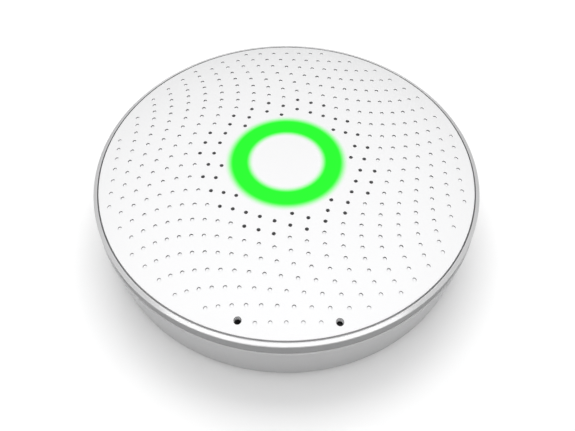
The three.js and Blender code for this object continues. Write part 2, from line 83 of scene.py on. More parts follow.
# %% [markdown]
# ## The camera
#
# A product picture is taken from above and in front, with a fairly long lens so that the circle
# isn't stretched. A camera in Blender looks down its own -Z axis, so a tilt about X alone lifts
# its gaze from straight down towards the horizon. Setting the lens and the tilt as plain numbers
# keeps the view easy to repeat, where a tracking constraint would hide them.

# %% Make the camera
camera_data = bpy.data.cameras.new("product camera")
camera_data.sensor_width = 36.0
camera_data.lens = 45.67
camera = bpy.data.objects.new("product camera", camera_data)
camera.location = (0.0003, -0.1466, 0.1995)
camera.rotation_euler = (math.radians(36.31), 0, 0)
bpy.context.collection.objects.link(camera)
bpy.context.scene.camera = camera
print("camera height above the table:", round(camera.location.z, 3), "m")

# %% [markdown]
# ## Tools for turned shapes
#
# Nearly every part here is round, so it can be described by half of its section and turned about
# an axis, like work on a lathe. Blender has a Screw modifier for this, but a few lines of bmesh
# give exact control over the corners. A real moulding never has a knife-sharp edge, so each
# corner of a section carries its own rounding radius, which becomes a short arc.

# %% Round the corners of a section
def soften(section, steps=4):
    """Turns (radius, height, rounding) corners into plain points, with an arc at each rounding."""
    outline = []
    count = len(section)
    for index, (radius, height, rounding) in enumerate(section):
        here = Vector((radius, height))
        if rounding == 0:
            outline.append(here)
            continue
        back = (Vector(section[index - 1][:2]) - here).normalized()
        ahead = (Vector(section[(index + 1) % count][:2]) - here).normalized()
        half = back.angle(ahead) / 2
        run = rounding / math.tan(half)
        centre = here + (back + ahead).normalized() * rounding / math.sin(half)
        first = here + back * run - centre
        last = here + ahead * run - centre
        start = math.atan2(first.y, first.x)
        sweep = (math.atan2(last.y, last.x) - start + math.pi) % (2 * math.pi) - math.pi
        for step in range(steps + 1):
            angle = start + sweep * step / steps
            outline.append(centre + rounding * Vector((math.cos(angle), math.sin(angle))))
    return outline


# %% Turn a section into a closed form
def turned(section, sides=160, steps=4, at=(0, 0)):
    """A closed bmesh, in millimetres, turned on the vertical axis through at."""
    form = bmesh.new()
    outline = soften(section, steps)
    columns = []
    for side in range(sides):
        angle = 2 * math.pi * side / sides
        column = []
        for point in outline:
            x = at[0] + point.x * math.cos(angle)
            y = at[1] + point.x * math.sin(angle)
            column.append(form.verts.new((x, y, point.y)))
        columns.append(column)
    for side in range(sides):
        near, far = columns[side], columns[(side + 1) % sides]
        for row in range(len(outline)):
            above = (row + 1) % len(outline)
            form.faces.new((near[row], far[row], far[above], near[above]))
    bmesh.ops.remove_doubles(form, verts=form.verts, dist=1e-4)
    bmesh.ops.recalc_face_normals(form, faces=form.faces)
    return form


def rod(radius, low, high, at=(0, 0), edge=0.0, sides=48):
    """A plain round bar, with its two rims rounded by edge."""
    section = [(0, low, 0), (radius, low, edge), (radius, high, edge), (0, high, 0)]
    return turned(section, sides, 3, at)


def bar(low, high, edge=0.0):
    """A block between two corners, with all its edges rounded by edge."""
    form = bmesh.new()
    bmesh.ops.create_cube(form, size=1)
    size = Vector(high) - Vector(low)
    bmesh.ops.scale(form, vec=size, verts=form.verts)
    bmesh.ops.translate(form, vec=(Vector(high) + Vector(low)) / 2, verts=form.verts)
    if edge:
        bmesh.ops.bevel(
            form, geom=form.edges[:], offset=edge, segments=3, profile=0.5, affect="EDGES"
        )
    return form


# %% [markdown]
# Bosses, pockets and screw holes can't be turned with the rest. We add or cut them with Blender's
# Boolean modifier, which works on objects, so each form becomes a hidden object for a moment and
# the result is read back from the dependency graph. The exact solver is slower than the others,
# and it keeps the thin walls clean.

# %% Add and cut forms
def gathered(forms):
    """Several separate closed forms as one."""
    whole = bmesh.new()
    for form in forms:
        spare = bpy.data.meshes.new("spare")
        form.to_mesh(spare)
        form.free()
        whole.from_mesh(spare)
        bpy.data.meshes.remove(spare)
    return whole


def combined(form, tool, operation):
    """form with tool added (UNION) or cut away (DIFFERENCE). Both are used up."""
    pair = []
    for part in (form, tool):
        bmesh.ops.recalc_face_normals(part, faces=part.faces)
        mesh = bpy.data.meshes.new("for boolean")
        part.to_mesh(mesh)
        part.free()
        solid = bpy.data.objects.new("for boolean", mesh)
        bpy.context.collection.objects.link(solid)
        pair.append(solid)
    boolean = pair[0].modifiers.new("boolean", "BOOLEAN")
    boolean.operation = operation
    boolean.solver = "EXACT"
    boolean.object = pair[1]
    result = bmesh.new()
    result.from_object(pair[0], bpy.context.evaluated_depsgraph_get())
    for solid in pair:
        bpy.data.meshes.remove(solid.data)
    bmesh.ops.dissolve_degenerate(result, dist=1e-4, edges=result.edges)
    return result


# %% [markdown]
# A finished form becomes a Blender object that rides on a CAD body and stands for its CAD node.
# Smooth shading alone would smear light over hard corners, so edges that turn more than a set
# angle are marked sharp. The Weighted Normal modifier then lets the large faces decide the
# shading at their borders, which keeps flat faces flat right up to their rounded edges.

# %% Make a piece from a form
def make_piece(name, form, body, stands_for, finish, crease=30):
    """Scales a form to metres, shades it, gives it its finish, ties it to its CAD body and hides its
    CAD nodes.
    """
    bmesh.ops.scale(form, vec=(MM, MM, MM), verts=form.verts)
    bmesh.ops.recalc_face_normals(form, faces=form.faces)
    for face in form.faces:
        face.smooth = True
    for edge in form.edges:
        if len(edge.link_faces) == 2 and edge.calc_face_angle() > math.radians(crease):
            edge.smooth = False
    mesh = bpy.data.meshes.new(name)
    form.to_mesh(mesh)
    form.free()
    mesh.materials.append(finish)
    piece = bpy.data.objects.new(name, mesh)
    bpy.context.collection.objects.link(piece)
    shading = piece.modifiers.new("even shading", "WEIGHTED_NORMAL")
    shading.keep_sharp = True
    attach(piece, body)
    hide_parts(*stands_for)
    print(f"{name}: {len(mesh.polygons)} faces")
    return piece


def paint_where(piece, finish, test):
    """Gives a second finish to the faces whose centre, in millimetres, passes the test."""
    piece.data.materials.append(finish)
    index = len(piece.data.materials) - 1
    for face in piece.data.polygons:
        if test(face.center / MM):
            face.material_index = index


# %% [markdown]
# ## Tools for finishes
#
# A finish is a small net of shader nodes round one Principled shader. All patterns are measured
# in the part's own coordinates, so they stay fixed to it and keep their true scale: a grain of a
# third of a millimetre is a third of a millimetre on every part. Constant values, such as the
# specular level, are set straight on the shader's sockets.

# %% Start a finish
def start_finish(name, colour, roughness, metallic=0.0, specular=0.5):
    """A material with a Principled shader: (material, node tree, shader)."""
    finish = bpy.data.materials.new(name)
    finish.use_nodes = True
    tree = finish.node_tree
    shader = tree.nodes["Principled BSDF"]
    shader.inputs["Base Color"].default_value = (*colour, 1)
    shader.inputs["Roughness"].default_value = roughness
    shader.inputs["Metallic"].default_value = metallic
    shader.inputs["Specular IOR Level"].default_value = specular
    return finish, tree, shader


def own_place(tree):
    """The point on the part, in its own coordinates."""
    return tree.nodes.new("ShaderNodeTexCoord").outputs["Object"]


def stretched(tree, place, factors):
    """The place scaled along each axis, which draws a pattern out in one direction."""
    mapping = tree.nodes.new("ShaderNodeMapping")
    mapping.inputs["Scale"].default_value = factors
    tree.links.new(place, mapping.inputs["Vector"])
    return mapping.outputs["Vector"]


# %% Patterns and mixes
def cloud(tree, place, size, detail=2.0):
    """Smooth noise from 0 to 1, with blotches about size millimetres across."""
    noise = tree.nodes.new("ShaderNodeTexNoise")
    noise.inputs["Scale"].default_value = 1 / (size * MM)
    noise.inputs["Detail"].default_value = detail
    tree.links.new(place, noise.inputs["Vector"])
    return noise.outputs[0]


def cells(tree, place, size, feature="F1"):
    """Distance to scattered points, or to the borders between them, about size mm apart."""
    voronoi = tree.nodes.new("ShaderNodeTexVoronoi")
    voronoi.feature = feature
    voronoi.inputs["Scale"].default_value = 1 / (size * MM)
    tree.links.new(place, voronoi.inputs["Vector"])
    return voronoi.outputs["Distance"]


def ranged(tree, value, low, high, to_low=0.0, to_high=1.0, soft=False):
    """Maps low..high to to_low..to_high, and holds it there outside."""
    node = tree.nodes.new("ShaderNodeMapRange")
    node.interpolation_type = "SMOOTHSTEP" if soft else "LINEAR"
    tree.links.new(value, node.inputs["Value"])
    node.inputs["From Min"].default_value = low
    node.inputs["From Max"].default_value = high
    node.inputs["To Min"].default_value = to_low
    node.inputs["To Max"].default_value = to_high
    return node.outputs["Result"]


def worked_out(tree, operation, first, second):
    """One arithmetic step on two node values, or on a node value and a number."""
    node = tree.nodes.new("ShaderNodeMath")
    node.operation = operation
    tree.links.new(first, node.inputs[0])
    if isinstance(second, (int, float)):
        node.inputs[1].default_value = second
    else:
        tree.links.new(second, node.inputs[1])
    return node.outputs[0]


def mixed(tree, share, first, second):
    """Two colours mixed; each is three numbers or another node's colour."""
    node = tree.nodes.new("ShaderNodeMix")
    node.data_type = "RGBA"
    tree.links.new(share, node.inputs["Factor"])
    for socket, colour in ((node.inputs[6], first), (node.inputs[7], second)):
        if isinstance(colour, tuple):
            socket.default_value = (*colour, 1)
        else:
            tree.links.new(colour, socket)
    return node.outputs[2]


def relief(tree, shader, height, depth):
    """Raises the surface where height is 1, by depth millimetres."""
    bump = tree.nodes.new("ShaderNodeBump")
    bump.inputs["Distance"].default_value = depth * MM
    tree.links.new(height, bump.inputs["Height"])
    tree.links.new(bump.outputs["Normal"], shader.inputs["Normal"])


def dimmed(colour, share):
    """A colour darkened to a share of itself."""
    return tuple(channel * share for channel in colour)


# %% [markdown]
# ## Moulded plastic
#
# The shell is ABS moulded in a mould whose steel was etched, which leaves a very fine even grain
# and a soft sheen. Up close no moulding is one flat colour: it drifts slightly where the melt
# flowed, and its grain catches light. Two noises do this. A large one shifts the colour by about
# two percent. A small one darkens the bottoms of the grain by three or four percent, and drives
# both the roughness and the bump, so they agree.
#
# Three finishes aren't plain ABS. The bezel is glossier and has a higher index of refraction, so
# that its narrow bevel mirrors the soft box. The skirt under it, the walls of the pits and the
# seam round the cover are painted greyer than the shell round them. This is painted shade, which
# stands in for deep shade that the lamps alone don't give. Under other lamps those two finishes
# would look too dark.

# %% The plastic finish
def moulded_plastic(name, colour, roughness, grain, grain_size=0.3, specular=0.3):
    """Etched injection-moulded plastic: (material, node tree, shader, colour output)."""
    finish, tree, shader = start_finish(name, colour, roughness, specular=specular)
    place = own_place(tree)
    flow = cloud(tree, stretched(tree, place, (1.0, 0.4, 1.0)), 18, 3)
    etching = cloud(tree, place, grain_size, 3)
    tint = mixed(tree, flow, dimmed(colour, 0.98), colour)
    pits = ranged(tree, etching, 0.30, 0.42)
    tint = mixed(tree, pits, dimmed(colour, 0.965), tint)
    sheen = ranged(tree, etching, 0.3, 0.7, roughness + 0.06, roughness - 0.05)
    tree.links.new(tint, shader.inputs["Base Color"])
    tree.links.new(sheen, shader.inputs["Roughness"])
    relief(tree, shader, etching, grain)
    return finish, tree, shader, tint


WHITE = (0.90, 0.90, 0.905)
housing_white = moulded_plastic("housing white", (0.60, 0.60, 0.605), 0.45, 0.004)[0]
plate_white = moulded_plastic("bracket white", (0.78, 0.78, 0.775), 0.5, 0.006, 0.4)[0]
bezel_white, _, bezel_shader, _ = moulded_plastic(
    "bezel satin white", (0.66, 0.66, 0.665), 0.16, 0.0004, 0.3, 1.0
)
bezel_shader.inputs["IOR"].default_value = 1.7
painted_shade_grey = moulded_plastic("painted shade grey", (0.25, 0.25, 0.255), 0.6, 0.002, 0.2, 0.1)[0]
skirt_painted_shade = moulded_plastic("skirt painted shade", (0.39, 0.39, 0.395), 0.6, 0.004, 0.3, 0.2)[0]
plastics = (housing_white, plate_white, bezel_white, painted_shade_grey, skirt_painted_shade)
print("plastic finishes:", [finish.name for finish in plastics])

# %% [markdown]
# ## The cover's finish and its glow
#
# Six lamps on the board light a ring through the thin cover. On the real object the green has no
# hard border, because the plastic scatters the light sideways. We could model that scattering,
# at a high price in render time. Here the ring is painted by distance from the centre instead:
# a soft step up and a soft step down, which mixes the white with green and adds emission. The
# green's own colour is dark, so that the room's white light can't wash it out.

# %% The cover finish
GLOW_INNER = (10.1, 12.4)  # where the green fades in
GLOW_OUTER = (16.4, 19.2)  # and out again
GLOW_GREEN = (0.012, 0.80, 0.016)
GLOW_UNDER = (0.012, 0.20, 0.016)


def glowing_cover():
    """The cover's plastic, with the lit ring."""
    finish, tree, shader, tint = moulded_plastic("cover white", WHITE, 0.55, 0.002, 0.25, 0.12)
    flat = stretched(tree, own_place(tree), (1 / MM, 1 / MM, 0))
    length = tree.nodes.new("ShaderNodeVectorMath")
    length.operation = "LENGTH"
    tree.links.new(flat, length.inputs[0])
    radius = length.outputs["Value"]
    rise = ranged(tree, radius, *GLOW_INNER, soft=True)
    fall = ranged(tree, radius, *GLOW_OUTER, 1.0, 0.0, soft=True)
    glow = worked_out(tree, "MULTIPLY", rise, fall)
    tree.links.new(mixed(tree, glow, tint, GLOW_UNDER), shader.inputs["Base Color"])
    tree.links.new(mixed(tree, glow, (0.0, 0.0, 0.0), GLOW_GREEN), shader.inputs["Emission Color"])
    shader.inputs["Emission Strength"].default_value = 1.0
    return finish


cover_white = glowing_cover()
print("the ring glows between", GLOW_INNER[0], "and", GLOW_OUTER[1], "mm from the centre")

# %% [markdown]
# ## Metals, board and small parts
#
# Plated steel is never a perfect mirror: barrel plating leaves a soft mottle, and handling
# leaves fine streaks. A noise drawn out along one axis gives the streaks, and a rounder one
# varies the roughness. The same function makes steel, nickel and gold by changing three numbers.

# %% The metal finish
def plated(name, colour, roughness, streak=(1, 1, 12)):
    """Plated metal with a soft mottle and fine streaks."""
    finish, tree, shader = start_finish(name, colour, roughness, metallic=1.0)
    place = own_place(tree)
    mottle = cloud(tree, place, 1.6, 4)
    streaks = cloud(tree, stretched(tree, place, streak), 1.2, 3)
    tree.links.new(mixed(tree, mottle, dimmed(colour, 0.86), colour), shader.inputs["Base Color"])
    worn = ranged(tree, streaks, 0.3, 0.7, roughness - 0.07, roughness + 0.09)
    tree.links.new(worn, shader.inputs["Roughness"])
    relief(tree, shader, streaks, 0.004)
    return finish


keeper_steel = plated("zinc plated steel", (0.62, 0.63, 0.65), 0.36, (1, 10, 1))
magnet_nickel = plated("bright nickel", (0.69, 0.66, 0.61), 0.2)
screw_steel = plated("screw steel", (0.55, 0.55, 0.56), 0.32, (1, 1, 5))
contact_nickel = plated("nickel spring sheet", (0.71, 0.68, 0.62), 0.24, (1, 9, 1))
sensor_can = plated("drawn can", (0.66, 0.65, 0.63), 0.28, (1, 1, 14))
module_gold = plated("gold flash", (0.86, 0.62, 0.25), 0.27)
print("metal finishes made")

# %% [markdown]
# A circuit board is green because its copper is covered by a thin lacquer. Tracks show through
# as slightly lighter lines that stand a little proud, and small tinned holes join the layers.
# The borders of a Voronoi pattern measured in city-block steps run straight with sudden turns,
# as tracks do. The holes are the points of a second pattern.

# %% The board finish
def lacquered_board(name, dark, light):
    """Circuit board: lacquer over tracks, with small tinned holes."""
    finish, tree, shader = start_finish(name, dark, 0.3, specular=0.5)
    place = own_place(tree)
    tracks = tree.nodes.new("ShaderNodeTexVoronoi")
    tracks.feature = "F1"
    tracks.distance = "CHEBYCHEV"
    tracks.inputs["Scale"].default_value = 1 / (6.5 * MM)
    tree.links.new(stretched(tree, place, (1, 1, 0)), tracks.inputs["Vector"])
    lines = worked_out(tree, "PINGPONG", tracks.outputs["Distance"], 0.09)
    copper = ranged(tree, lines, 0.035, 0.05)
    fibres = cloud(tree, place, 0.9, 2)
    lacquer = mixed(tree, copper, dark, light)
    lacquer = mixed(tree, ranged(tree, fibres, 0.35, 0.65), dimmed(dark, 0.8), lacquer)
    holes = ranged(tree, cells(tree, stretched(tree, place, (1, 1, 0)), 4.2), 0.06, 0.075, 1, 0)
    tree.links.new(mixed(tree, holes, lacquer, (0.62, 0.55, 0.38)), shader.inputs["Base Color"])
    tree.links.new(ranged(tree, fibres, 0.3, 0.7, 0.24, 0.38), shader.inputs["Roughness"])
    relief(tree, shader, copper, 0.035)
    return finish


board_green = lacquered_board("board green", (0.012, 0.10, 0.035), (0.03, 0.20, 0.07))
module_blue = lacquered_board("module blue", (0.01, 0.035, 0.14), (0.03, 0.09, 0.28))
print("board finishes made")

# %% [markdown]
# The chips are black epoxy filled with glass, so they look slightly speckled and dusty. Foam is
# a mass of open bubbles. The chamber that shields the light meter is plastic blasted matt black.
# Each of these is one pattern at its own scale, used for colour, roughness and relief alike.

# %% Speckled dark finishes
def speckled(name, colour, roughness, size, depth, contrast=0.55, specular=0.4):
    """A matt material with small specks in its colour, roughness and relief."""
    finish, tree, shader = start_finish(name, colour, roughness, specular=specular)
    place = own_place(tree)
    specks = cloud(tree, place, size, 4)
    sharp = ranged(tree, specks, 0.35, 0.65)
    tree.links.new(mixed(tree, sharp, dimmed(colour, contrast), colour), shader.inputs["Base Color"])
    dusty = ranged(tree, specks, 0.3, 0.7, roughness - 0.08, roughness + 0.08)
    tree.links.new(dusty, shader.inputs["Roughness"])
    relief(tree, shader, specks, depth)
    return finish


chip_black = speckled("chip epoxy", (0.028, 0.028, 0.030), 0.5, 0.25, 0.012)
chamber_black = speckled("blasted black", (0.012, 0.012, 0.012), 0.75, 0.4, 0.03, 0.6, 0.2)
capacitor_tan = speckled("capacitor resin", (0.42, 0.22, 0.05), 0.42, 0.5, 0.01, 0.8)
led_resin = speckled("phosphor resin", (0.86, 0.72, 0.20), 0.3, 0.2, 0.01, 0.85)
reflector_white = speckled("reflector white", (0.88, 0.88, 0.87), 0.6, 0.5, 0.008, 0.97)
print("speckled finishes made")


# %% Foam, woven mesh and lens
def open_foam(name, colour, bubble):
    """Foam: bubbles with thin borders between them."""
    finish, tree, shader = start_finish(name, colour, 0.85, specular=0.2)
    border = cells(tree, own_place(tree), bubble, "DISTANCE_TO_EDGE")
    walls = ranged(tree, border, 0.02, 0.16, 1.0, 0.0)
    tree.links.new(mixed(tree, walls, dimmed(colour, 0.3), colour), shader.inputs["Base Color"])
    tree.links.new(ranged(tree, border, 0.0, 0.3, 0.7, 0.95), shader.inputs["Roughness"])
    relief(tree, shader, walls, 0.15)
    return finish


def woven_mesh(name, colour, pitch):
    """A fine woven dust screen: crossed threads, with the gaps painted dark as shade."""
    finish, tree, shader = start_finish(name, colour, 0.45, metallic=0.0, specular=0.5)
    place = own_place(tree)
    threads = []
    for axis in ("X", "Y"):
        wave = tree.nodes.new("ShaderNodeTexWave")
        wave.bands_direction = axis
        wave.inputs["Scale"].default_value = 1 / (20 * pitch * MM) * 2 * math.pi
        tree.links.new(place, wave.inputs["Vector"])
        threads.append(wave.outputs["Fac"])
    weave = worked_out(tree, "MAXIMUM", threads[0], threads[1])
    gaps = ranged(tree, weave, 0.35, 0.6)
    # Painted shade: the gaps between the threads are nearly black, for the shade seen through them.
    tree.links.new(mixed(tree, gaps, dimmed(colour, 0.1), colour), shader.inputs["Base Color"])
    tree.links.new(ranged(tree, weave, 0.2, 0.9, 0.6, 0.35), shader.inputs["Roughness"])
    relief(tree, shader, weave, 0.05)
    return finish


foam_black = open_foam("foam black", (0.03, 0.03, 0.03), 0.5)
dust_screen = woven_mesh("dust screen", (0.16, 0.16, 0.165), 0.35)
lens_dark = speckled("smoked lens", (0.003, 0.003, 0.004), 0.3, 2.0, 0.002, 0.7, 0.08)


def clear_guide(name):
    """The light guide: clear acrylic with a frosted, faintly green-lit face."""
    finish, tree, shader = start_finish(name, (0.75, 0.95, 0.78), 0.25, specular=0.5)
    frost = cloud(tree, own_place(tree), 0.5, 3)
    tint = mixed(tree, frost, (0.62, 0.90, 0.66), (0.82, 0.98, 0.84))
    tree.links.new(tint, shader.inputs["Base Color"])
    tree.links.new(ranged(tree, frost, 0.3, 0.7, 0.2, 0.42), shader.inputs["Roughness"])
    relief(tree, shader, frost, 0.02)
    shader.inputs["Transmission Weight"].default_value = 0.6
    shader.inputs["Emission Color"].default_value = (0.02, 0.9, 0.04, 1)
    shader.inputs["Emission Strength"].default_value = 0.4
    return finish


guide_clear = clear_guide("frosted light guide")
print("foam, screen, lens and guide finishes made")

# %% [markdown]
# ## The domed cover
#
# The cover is the face of the monitor: a shallow dome with rows of tiny dimples that swirl about
# the centre. Sixty of the dimples nearest the ring go right through and let the air in, and two
# larger ports near the front edge serve the light sensor and the sounder. A displacement map
# could fake the dimples, but then their steep walls would break up. Instead we lay out a net of
# corners with a ring round every dimple, let Blender's Delaunay triangulation fill the rest, and
# sink real pits inside the rings.

# %% The dome's height
COVER_WALL = 1.6
DOME_RISE = 5.45
DOME_SPAN = 58.6
DOME_SHOULDER = 0.68  # 0 would be a plain parabola, and more makes the middle flatter
MARK_RADIUS = 10.0  # a fine circle engraved in the middle
MARK_DEPTH = 0.035
cover_edge_z = cover_high.z - DOME_RISE


def crown(radius):
    """Height of the cover's outside at a distance from the centre."""
    share = (radius / DOME_SPAN) ** 2
    return cover_edge_z + DOME_RISE * (1 - share) * (1 + DOME_SHOULDER * share)


def marked_crown(radius):
    """The same with the fine engraved circle."""
    return crown(radius) - (MARK_DEPTH if abs(radius - MARK_RADIUS) < 0.05 else 0)


print("dome height at the centre and the edge:", crown(0), round(crown(cover_radius), 2), "mm")

# %% [markdown]
# The dimples sit on a square lattice that has been twisted: each point keeps its distance from
# the centre, and turns further the nearer it is to the middle. The twist is what makes the rows
# look like waves.

# %% Where the dimples, vents and ports are
DOT_PITCH = 4.47
DOT_TWIST = math.radians(2.9)
STRAIGHT_RING = 12
VENTS_FROM, VENTS_TO = 19.5, 27.7
PORT_NODES = {"light": "light_pipe", "sound": "sounder_gasket"}  # what sits under each port
DOTS_TO = math.sqrt(155) * DOT_PITCH


def lattice_place(column, row):
    """Where a step of the twisted lattice lies."""
    steps = math.hypot(column, row)
    angle = math.atan2(row, column) + DOT_TWIST * (steps - STRAIGHT_RING)
    return Vector((math.cos(angle), math.sin(angle))) * DOT_PITCH * steps


ports = {}
for job, node in PORT_NODES.items():
    low, high = node_box(node)
    ports[job] = ((low + high) / 2).to_2d()

vents = []
dimples = []
reach = math.ceil(DOTS_TO / DOT_PITCH)
for column in range(-reach, reach + 1):
    for row in range(-reach, reach + 1):
        spot = lattice_place(column, row)
        near_port = min((spot - port).length for port in ports.values()) < 3
        if not VENTS_FROM < spot.length <= DOTS_TO + 0.01 or near_port:
            continue
        if spot.length < VENTS_TO:
            vents.append(spot)
        else:
            dimples.append(spot)
print(len(vents), "vents,", len(dimples), "dimples,", len(ports), "ports")

# %% [markdown]
# The net is made in plan. Every dimple brings a ring of corners with it, and the open ground
# between is filled with corners on circles about the centre, kept clear of the rings. The
# constrained triangulation keeps each ring's edges, so afterwards the triangles that lie wholly
# on one ring are simply left out, and there is the opening.

# %% A disc with openings
DISC_SIDES = 240


def ring_points(centre, radius, sides):
    """Points round a circle, starting on the +X side."""
    points = []
    for side in range(sides):
        angle = 2 * math.pi * side / sides
        points.append(centre + radius * Vector((math.cos(angle), math.sin(angle))))
    return points


def open_ground(edge, spacing, openings, extra_circles=()):
    """Corners on circles about the centre, clear of the openings."""
    tree = KDTree(max(len(openings), 1))
    for index, (centre, _, _) in enumerate(openings):
        tree.insert((centre.x, centre.y, 0), index)
    tree.balance()
    circles = [spacing * step for step in range(1, int(edge / spacing))]
    circles = [r for r in circles if all(abs(r - c) > spacing / 2 for c in extra_circles)]
    points = [Vector((0, 0))]
    for radius in sorted([*circles, *extra_circles]):
        crowd = 3 if radius in extra_circles else 1
        sides = max(8, round(2 * math.pi * radius / spacing * crowd))
        for point in ring_points(Vector((0, 0)), radius, sides):
            _, index, distance = tree.find((point.x, point.y, 0))
            room = openings[index][1] + spacing * 0.3 if openings else 0
            if distance > room:
                points.append(point)
    return points


def pierced_disc(form, level, edge, spacing, openings, extra_circles=()):
    """Adds a triangulated disc to form. Openings are (centre, radius, sides).

    Returns the corners round the edge, and round each opening."""
    points = ring_points(Vector((0, 0)), edge, DISC_SIDES)
    owner = [-1] * DISC_SIDES
    links = [(side, (side + 1) % DISC_SIDES) for side in range(DISC_SIDES)]
    starts = []
    for number, (centre, radius, sides) in enumerate(openings):
        first = len(points)
        starts.append(first)
        points += ring_points(centre, radius, sides)
        owner += [number] * sides
        links += [(first + side, first + (side + 1) % sides) for side in range(sides)]
    ground = open_ground(edge, spacing, openings, extra_circles)
    points += ground
    owner += [-1] * len(ground)
    found = delaunay_2d_cdt(points, links, [], 0, 1e-5)
    place_of = {}
    for new, sources in enumerate(found[3]):
        for source in sources:
            place_of[source] = new
    owner_of = [-1] * len(found[0])
    for source, new in place_of.items():
        owner_of[new] = owner[source]
    corners = [form.verts.new((p.x, p.y, level(p.length))) for p in found[0]]
    for face in found[2]:
        owners = {owner_of[corner] for corner in face}
        if len(owners) > 1 or -1 in owners:
            form.faces.new([corners[corner] for corner in face])
    rim = [corners[place_of[side]] for side in range(DISC_SIDES)]
    rings = []
    for first, (_, _, sides) in zip(starts, openings):
        rings.append([corners[place_of[first + side]] for side in range(sides)])
    return rim, rings


# %% [markdown]
# A pit is a short stack of rings that shrink as they go down. The first steps are gentle, which
# rounds the lip, then the wall drops steeply, and the floor is a shallow bowl. A vent starts in
# the same way and keeps going until it meets the underside. The dimples are shallower in the
# outermost rows. The walls of dimples and vents are painted a darker grey: painted shade.

# %% Sink pits and vents
DIMPLE = [(0.66, 0.02), (0.60, 0.08), (0.58, 0.60), (0.40, 0.66)]
DIMPLE_FLOOR = 0.68
VENT = [(0.66, 0.02), (0.60, 0.07), (0.58, 0.16), (0.58, COVER_WALL)]
PORT = [(1.12, 0.03), (1.03, 0.10), (1.0, 0.22), (1.0, COVER_WALL)]
DOT_MOUTH = 0.80
PORT_MOUTH = 1.30
DOT_SIDES = 12
PORT_SIDES = 28


def bridged(form, upper, lower):
    """Joins two rings of corners with a band of faces."""
    count = len(upper)
    for side in range(count):
        after = (side + 1) % count
        form.faces.new((upper[side], upper[after], lower[after], lower[side]))


def sunk(form, ring, centre, steps, floor=None):
    """Sinks rings of (radius, depth) inside a ring of corners, and closes them with a floor."""
    for radius, depth in steps:
        lower = []
        for spot in ring_points(centre, radius, len(ring)):
            lower.append(form.verts.new((spot.x, spot.y, crown(spot.length) - depth)))
        bridged(form, ring, lower)
        ring = lower
    if floor is not None:
        bottom = form.verts.new((centre.x, centre.y, crown(centre.length) - floor))
        for side in range(len(ring)):
            form.faces.new((ring[side], ring[(side + 1) % len(ring)], bottom))


# %% Build the cover
EDGE_ROUND = 0.30
EDGE_LEAN = 0.03  # the edge's wall leans in by this much
EDGE_FOOT = 0.75  # and ends this far below the dome's edge


def dimple_share(distance):
    """How deep a dimple is, as a share: the outermost rows are shallower."""
    return 1 - 0.5 * (distance / cover_radius) ** 8


def cover_form():
    """The whole cover: pitted dome, rounded edge and plain underside."""
    form = bmesh.new()
    dots = dimples + vents
    openings = [(spot, DOT_MOUTH, DOT_SIDES) for spot in dots]
    openings += [(spot, PORT_MOUTH, PORT_SIDES) for spot in ports.values()]
    mark = [MARK_RADIUS + step for step in (-0.10, -0.04, 0.04, 0.10)]
    top_edge = cover_radius - EDGE_LEAN - EDGE_ROUND
    over, rings = pierced_disc(form, marked_crown, top_edge, 1.6, openings, mark)
    for number, (centre, _, _) in enumerate(openings):
        if number < len(dimples):
            share = dimple_share(centre.length)
            steps = [(radius, depth * share) for radius, depth in DIMPLE]
            sunk(form, rings[number], centre, steps, DIMPLE_FLOOR * share)
        elif number < len(dots):
            sunk(form, rings[number], centre, VENT)
        else:
            sunk(form, rings[number], centre, PORT)

    bores = [(spot, VENT[-1][0], DOT_SIDES) for spot in vents]
    bores += [(spot, PORT[-1][0], PORT_SIDES) for spot in ports.values()]
    under_edge = cover_radius - 0.15
    under, _ = pierced_disc(form, lambda r: crown(r) - COVER_WALL, under_edge, 3.2, bores)

    side = []
    for step in range(1, 6):
        angle = math.radians(16 * step)
        drop = EDGE_ROUND * (1 - math.cos(angle))
        side.append((top_edge + EDGE_ROUND * math.sin(angle), crown(top_edge) - drop))
    side.append((cover_radius, crown(top_edge) - EDGE_FOOT))
    side.append((cover_radius, cover_low.z + 0.15))
    ring = over
    for radius, height in side:
        lower = []
        for spot in ring_points(Vector((0, 0)), radius, DISC_SIDES):
            lower.append(form.verts.new((spot.x, spot.y, height)))
        bridged(form, ring, lower)
        ring = lower
    bridged(form, ring, under)
    bmesh.ops.remove_doubles(form, verts=form.verts, dist=1e-3)
    return form


cover = make_piece(
    "domed_cover", cover_form(), "monitor", ["front_cover"], cover_white, 40
)


def in_pit_wall(at):
    """Whether a face of the cover belongs to the wall of a dimple or a vent."""
    spot = at.to_2d()
    depth = crown(spot.length) - at.z
    if not 0.06 < depth < COVER_WALL - 0.1 or at.z < cover_edge_z - 0.4:
        return False
    if min((spot - vent).length for vent in vents) < DOT_MOUTH:
        return True
    return depth < 0.5 * dimple_share(spot.length)


# Painted shade: the walls of the dimples and vents get a darker grey that stands in for their shade.
paint_where(cover, painted_shade_grey, in_pit_wall)  # grey walls make the pits read as deep
print("cover corners:", len(cover.data.vertices))

# %% [markdown]
# ## The bezel
#
# A satin ring holds the cover. From outside we see a narrow flat strip almost level with the
# cover's edge, a bevel that slopes down outside it, a thin lip, and a skirt set back under the
# lip, which reads as a grey band partly through painted shade. A shallow seam, painted dark as
# shade, parts the strip from the cover. Inside, a tongue plugs into the housing, and four bosses
# take the screws that come from behind.
#
# The strip stands higher than the top of the CAD bezel, but still within the whole part's box.
# The ring is turned from its section. The bosses and then their ribs are joined on by booleans,
# and one more cuts the pilot holes.

